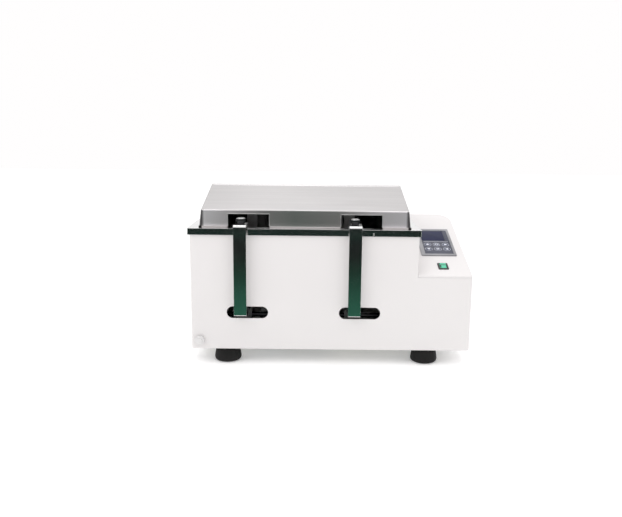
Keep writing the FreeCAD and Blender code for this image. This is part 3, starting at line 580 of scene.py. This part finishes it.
def drain_plug():
    """White screw cap with finger ribs and a stepped nose."""
    face_front = Matrix.Rotation(math.pi / 2, 4, "X")
    outline = [(11.4, -0.6, 0), (12.2, 0.4, 1), (12.4, 1.4, 1), (12.4, 6.6, 1),
               (12.0, 8.0, 1), (10.8, 9.2, 0), (7.4, 9.6, 0), (6.5, 10.2, 0),
               (6.5, 12.6, 0), (5.8, 13.4, 0), (4.6, 13.8, 0), (0.6, 13.8, 0)]
    rings = [round_ring(radius, height, 144, 18, 0.9 * ribbed) for radius, height, ribbed in outline]
    bm = bmesh.new()
    add_rings(bm, rings, at(DRAIN_X, 0, DRAIN_Z, face_front))
    finish_piece("drain_screw_cap", bm, "white_plastic", "drain_cap", "drain_cap")


# --- console -------------------------------------------------------------------------------

BEZEL_MIDDLE, BEZEL_X = 182.0, 632.5
PANEL_X = 634.5
WINDOW_X, WINDOW_MIDDLE = 630.0, 218.0
KEY_ROWS = (166.0, 140.0)
KEY_COLUMNS = (610.0, 634.0, 658.0)
SWITCH_X, SWITCH_MIDDLE = 633.0, 48.0
SWITCH_TILT = math.radians(7)


def bezel():
    """Silver frame with rolled edges round the display and the keypad."""
    panel_shift = Vector((PANEL_X - BEZEL_X, 0, 0))
    outside = [(92, 156, 3, 0.05), (92, 156, 3, 1.8), (90.8, 154.8, 2.6, 2.9), (89, 153, 2.2, 3.05)]
    inside = [(77, 141, 2.2, 3.05), (75.2, 139.2, 1.6, 2.8),
              (74.2, 138.2, 1.2, 2.2), (74.2, 138.2, 1.2, 0.05)]
    rings = [rounded_ring(wide, deep, radius, height) for wide, deep, radius, height in outside]
    for wide, deep, radius, height in inside:
        rings.append([point + panel_shift for point in rounded_ring(wide, deep, radius, height)])
    bm = bmesh.new()
    add_rings(bm, rings, on_console(BEZEL_X, BEZEL_MIDDLE), closed=True)
    finish_piece("display_frame", bm, "silver_frame", "casing", "display_bezel")


GLASS_WIDE, GLASS_DEEP, GLASS_CORNER = 61.4, 55.4, 7
LAMP_X, LAMP_ROWS = 666.6, (197, 209, 221, 233)
RULE_HALF, RULE_MIDDLE = 33, 183


def display():
    """Dark glass with round corners, and status lamps beside it."""
    bm = bmesh.new()
    rings = [rounded_ring(GLASS_WIDE - 2 * inset, GLASS_DEEP - 2 * inset, GLASS_CORNER, height)
             for inset, height in ((0, 0.05), (0, 1.9), (0.5, 2.3), (1.2, 2.4))]
    add_rings(bm, rings, on_console(WINDOW_X, WINDOW_MIDDLE))
    finish_piece("display_glass", bm, "display_glass", "casing", "display_window")
    for number, up_slope in enumerate(LAMP_ROWS, start=1):
        bm = bmesh.new()
        rings = [round_ring(radius, height, 24) for radius, height in
                 ((1.7, 1.9), (1.7, 2.4), (1.4, 2.8), (0.8, 3.0), (0.1, 3.05))]
        add_rings(bm, rings, on_console(LAMP_X, up_slope))
        finish_piece(f"status_lamp_{number}", bm, "key_blue", "casing")


def printed_rings():
    """Light outlines printed round the keys, and a thin rule below the display."""
    bm = bmesh.new()
    for up_slope in KEY_ROWS:
        for x in KEY_COLUMNS:
            rings = [round_ring(radius, height, 40) for radius, height in
                     ((9.0, 2.0), (9.0, 2.12), (9.7, 2.12), (9.7, 2.0))]
            add_rings(bm, rings, on_console(x, up_slope), closed=True)
    add_bar(bm, (-RULE_HALF, -0.5, 2.0), (RULE_HALF, 0.5, 2.15), on_console(PANEL_X, RULE_MIDDLE))
    finish_piece("keypad_print", bm, "print_white", "casing")


ARROW = [(-4.6, -3.2), (4.6, -3.2), (0, 4.8)]
ARROW_TURNS = ("up", "left", "down", "right")


def add_flat(bm, points, place, low=2.5, high=2.62):
    """A thin printed mark with the outline given."""
    add_rings(bm, [[Vector((x, y, height)) for x, y in points] for height in (low, high)], place)


def turned(points, quarter_turns):
    """Points turned anticlockwise by quarter turns."""
    angle = quarter_turns * math.pi / 2
    cosine, sine = math.cos(angle), math.sin(angle)
    return [(x * cosine - y * sine, x * sine + y * cosine) for x, y in points]


def keys():
    """Domed film keys with plain arrow, ring and bar marks."""
    marks = ("up", "ring", "right", "down", "bars", "left")
    spots = [(x, up_slope) for up_slope in KEY_ROWS for x in KEY_COLUMNS]
    for number, (mark, (x, up_slope)) in enumerate(zip(marks, spots), start=1):
        node = f"key_{number}"
        place = on_console(x, up_slope)
        bm = bmesh.new()
        rings = [round_ring(radius, height, 48) for radius, height in
                 ((7.9, -1.5), (7.9, 1.8), (7.6, 2.2), (6.9, 2.45), (0.2, 2.52))]
        add_rings(bm, rings, place)
        finish_piece(node + "_cap", bm, "key_blue", node, node)
        bm = bmesh.new()
        if mark in ARROW_TURNS:
            add_flat(bm, turned(ARROW, ARROW_TURNS.index(mark)), place)
        elif mark == "ring":
            rings = [round_ring(radius, height, 32) for radius, height in
                     ((3.2, 2.5), (3.2, 2.62), (4.8, 2.62), (4.8, 2.5))]
            add_rings(bm, rings, place, closed=True)
        else:
            for shift in (-2.2, 2.2):
                left, right = shift - 1.2, shift + 1.2
                add_flat(bm, [(left, -4), (right, -4), (right, 4), (left, 4)], place)
        finish_piece(node + "_mark", bm, "print_white", node)


def rocker():
    """Lit paddle with a hollowed top and two dark bars on it, in its black frame."""
    place = on_console(SWITCH_X, SWITCH_MIDDLE, SWITCH_TILT)
    bm = bmesh.new()
    steps = 16
    rings = []
    for step in range(steps + 1):
        y = 20 * step / steps - 10
        top = 1.9 + 1.6 * (abs(y) / 10) ** 1.6
        rounding = 0.35 * (step in (0, steps))
        wide = 8 - rounding
        crown = top - rounding
        outline = [(-wide, -2.5), (wide, -2.5), (wide, crown - 0.5),
                   (wide - 0.5, crown), (0.5 - wide, crown), (-wide, crown - 0.5)]
        rings.append([Vector((x, y, z)) for x, z in outline])
    add_rings(bm, rings, place)
    finish_piece("rocker_paddle", bm, "green_lens", "rocker", "switch_rocker")
    bm = bmesh.new()
    add_bar(bm, (-7.6, 3.2, 1.8), (7.6, 5.2, 2.75), place)
    add_bar(bm, (-7.6, -8.6, 2.0), (-5.0, 3.2, 3.1), place)
    finish_piece("rocker_band", bm, "black_plastic", "rocker")
    bm = bmesh.new()
    sections = [(26, 31.5, 2.4, 0.05), (26, 31.5, 2.4, 1.3), (25, 30.5, 2.2, 2.0), (23.6, 29.1, 1.8, 2.2),
                (18.6, 23.6, 1.4, 2.2), (17.2, 22.2, 1.0, 1.4), (17.2, 22.2, 1.0, -9)]
    rings = [rounded_ring(wide, deep, radius, height) for wide, deep, radius, height in sections]
    rings.append(rounded_ring(21.8, 27.8, 1.0, -9))
    rings.append(rounded_ring(21.8, 27.8, 1.0, 0.05))
    add_rings(bm, rings, on_console(SWITCH_X, SWITCH_MIDDLE), closed=True)
    finish_piece("switch_frame", bm, "black_plastic", "casing", "switch_housing")


# --- lid and rim trim ----------------------------------------------------------------------

LID_LOW, CUTOUT_HIGH, CUTOUT_HALF = 310.0, 30.0, 50.5
CUTOUT_MIDDLES = (143.5, 422.5)
HEM_WIDE, HEM_THICK, HEM_ROWS = 1.6, 2, (19.5, 328.5)
# The pale strip filling the gap under the lid's skirt, a painted highlight for the lit rim top.
GAP_STRIP_LOW, GAP_STRIP_THICK, GAP_STRIP_ROWS = 307.4, 2, (20.2, 327.8)
GAP_STRIP_LEFT, GAP_STRIP_RIGHT = 24.5, 541.5


def cutout_hems():
    """Folded safe edges on three sides of each cut-out in the lid's skirt."""
    bm = bmesh.new()
    top = LID_LOW + CUTOUT_HIGH
    for y in HEM_ROWS:
        for x in CUTOUT_MIDDLES:
            left, right = x - CUTOUT_HALF, x + CUTOUT_HALF
            bars = (((left - HEM_WIDE, LID_LOW), left), ((right, LID_LOW), right + HEM_WIDE),
                    ((left - HEM_WIDE, top), right + HEM_WIDE))
            for (start, low), end in bars:
                add_bar(bm, (start, y, low), (end, y + HEM_THICK, top + HEM_WIDE), at(0, 0, 0))
    finish_piece("cutout_hems", bm, "stainless_satin", "lid")


def lid_gap_highlight_strip():
    """Pale soft strip filling the gap below the lid's skirt, left out where the arms pass. Its pale tone
    is a painted highlight standing in for the lit rim top.
    """
    bm = bmesh.new()
    edges = [GAP_STRIP_LEFT]
    for middle in CUTOUT_MIDDLES:
        edges += [middle + side * (CUTOUT_HALF + HEM_WIDE) for side in (-1, 1)]
    edges.append(GAP_STRIP_RIGHT)
    for y in GAP_STRIP_ROWS:
        for start, end in zip(edges[0::2], edges[1::2]):
            add_bar(bm, (start, y, GAP_STRIP_LOW), (end, y + GAP_STRIP_THICK, LID_LOW), at(0, 0, 0), 0.2)
    for x in (GAP_STRIP_LEFT - GAP_STRIP_THICK, GAP_STRIP_RIGHT):
        add_bar(bm, (x, 24, GAP_STRIP_LOW), (x + GAP_STRIP_THICK, 326, LID_LOW), at(0, 0, 0), 0.2)
    finish_piece("lid_gap_highlight_strip", bm, "gap_strip_painted_highlight", "lid")


def rim_light_mark():
    """Short light satin mark on the rim's folded strip."""
    bm = bmesh.new()
    add_bar(bm, (449, -4.9, 292.5), (453, -4.4, 299.5), at(0, 0, 0))
    finish_piece("rim_light_mark", bm, "stainless_satin", "casing")


FINGER_STEPS = 14


def flask_springs():
    """Round feet with four leaf fingers that bow in and flare out at the top."""
    bm = bmesh.new()
    thick, foot_z, high = 1.0, 162.0, 47.0
    columns, rows_deep = (141, 266, 391), (120, 230)
    for x in columns:
        for y in rows_deep:
            rings = [round_ring(radius, height, 48) for radius, height in
                     ((33.5, 0.1), (34, 0.5), (34, 1.1), (33.5, 1.5), (0.3, 1.5))]
            add_rings(bm, rings, at(x, y, foot_z))
            for quarter in range(4):
                turn = Matrix.Rotation(quarter * math.pi / 2, 4, "Z")
                sections = []
                for step in range(FINGER_STEPS + 1):
                    part = step / FINGER_STEPS
                    out = 31 - 5.5 * math.sin(math.pi * min(part / 0.85, 1)) + 14 * max(part - 0.85, 0)
                    half = 7 - 2.2 * part
                    height = 1.3 + part * (high - 1.5)
                    outline = ((out, -half), (out + thick, -half), (out + thick, half), (out, half))
                    sections.append([Vector((across, along, height)) for across, along in outline])
                add_rings(bm, sections, at(x, y, foot_z, turn))
    finish_piece("flask_springs", bm, "stainless_satin", "carriage", "flask_clips")


PANEL_SCREWS = ((14, 30), (14, 150), (14, 280), (657, 30), (657, 150), (657, 260))


def panel_screws():
    """Domed screw heads with a dark cross, on the rear panel. The first stands for the CAD screws."""
    arm_long, arm_half = 2.2, 0.45
    face_back = Matrix.Rotation(-math.pi / 2, 4, "X")
    for number, (x, z) in enumerate(PANEL_SCREWS, start=1):
        bm = bmesh.new()
        rings = [round_ring(radius, height, 32) for radius, height in
                 ((3.5, 0), (3.5, 0.7), (3.2, 1.3), (2.5, 1.75), (1.4, 1.95), (0.2, 2.0))]
        add_rings(bm, rings, at(x, CASE_DEEP, z, face_back))
        names = ["rear_screws"] if number == 1 else []
        finish_piece(f"panel_screw_{number}", bm, "chrome", "casing", *names)
        bm = bmesh.new()
        for turn in (0, 1):
            place = at(x, CASE_DEEP, z, face_back @ Matrix.Rotation(turn * math.pi / 2, 4, "Z"))
            add_bar(bm, (-arm_long, -arm_half, 1.2), (arm_long, arm_half, 1.9), place, 0.1)
        finish_piece(f"panel_screw_cross_{number}", bm, "black_plastic", "casing")


for build in (rubber_feet, screw_knobs, drain_plug, bezel, display, printed_rings, keys, rocker,
              cutout_hems, lid_gap_highlight_strip, rim_light_mark, flask_springs, panel_screws):
    build()
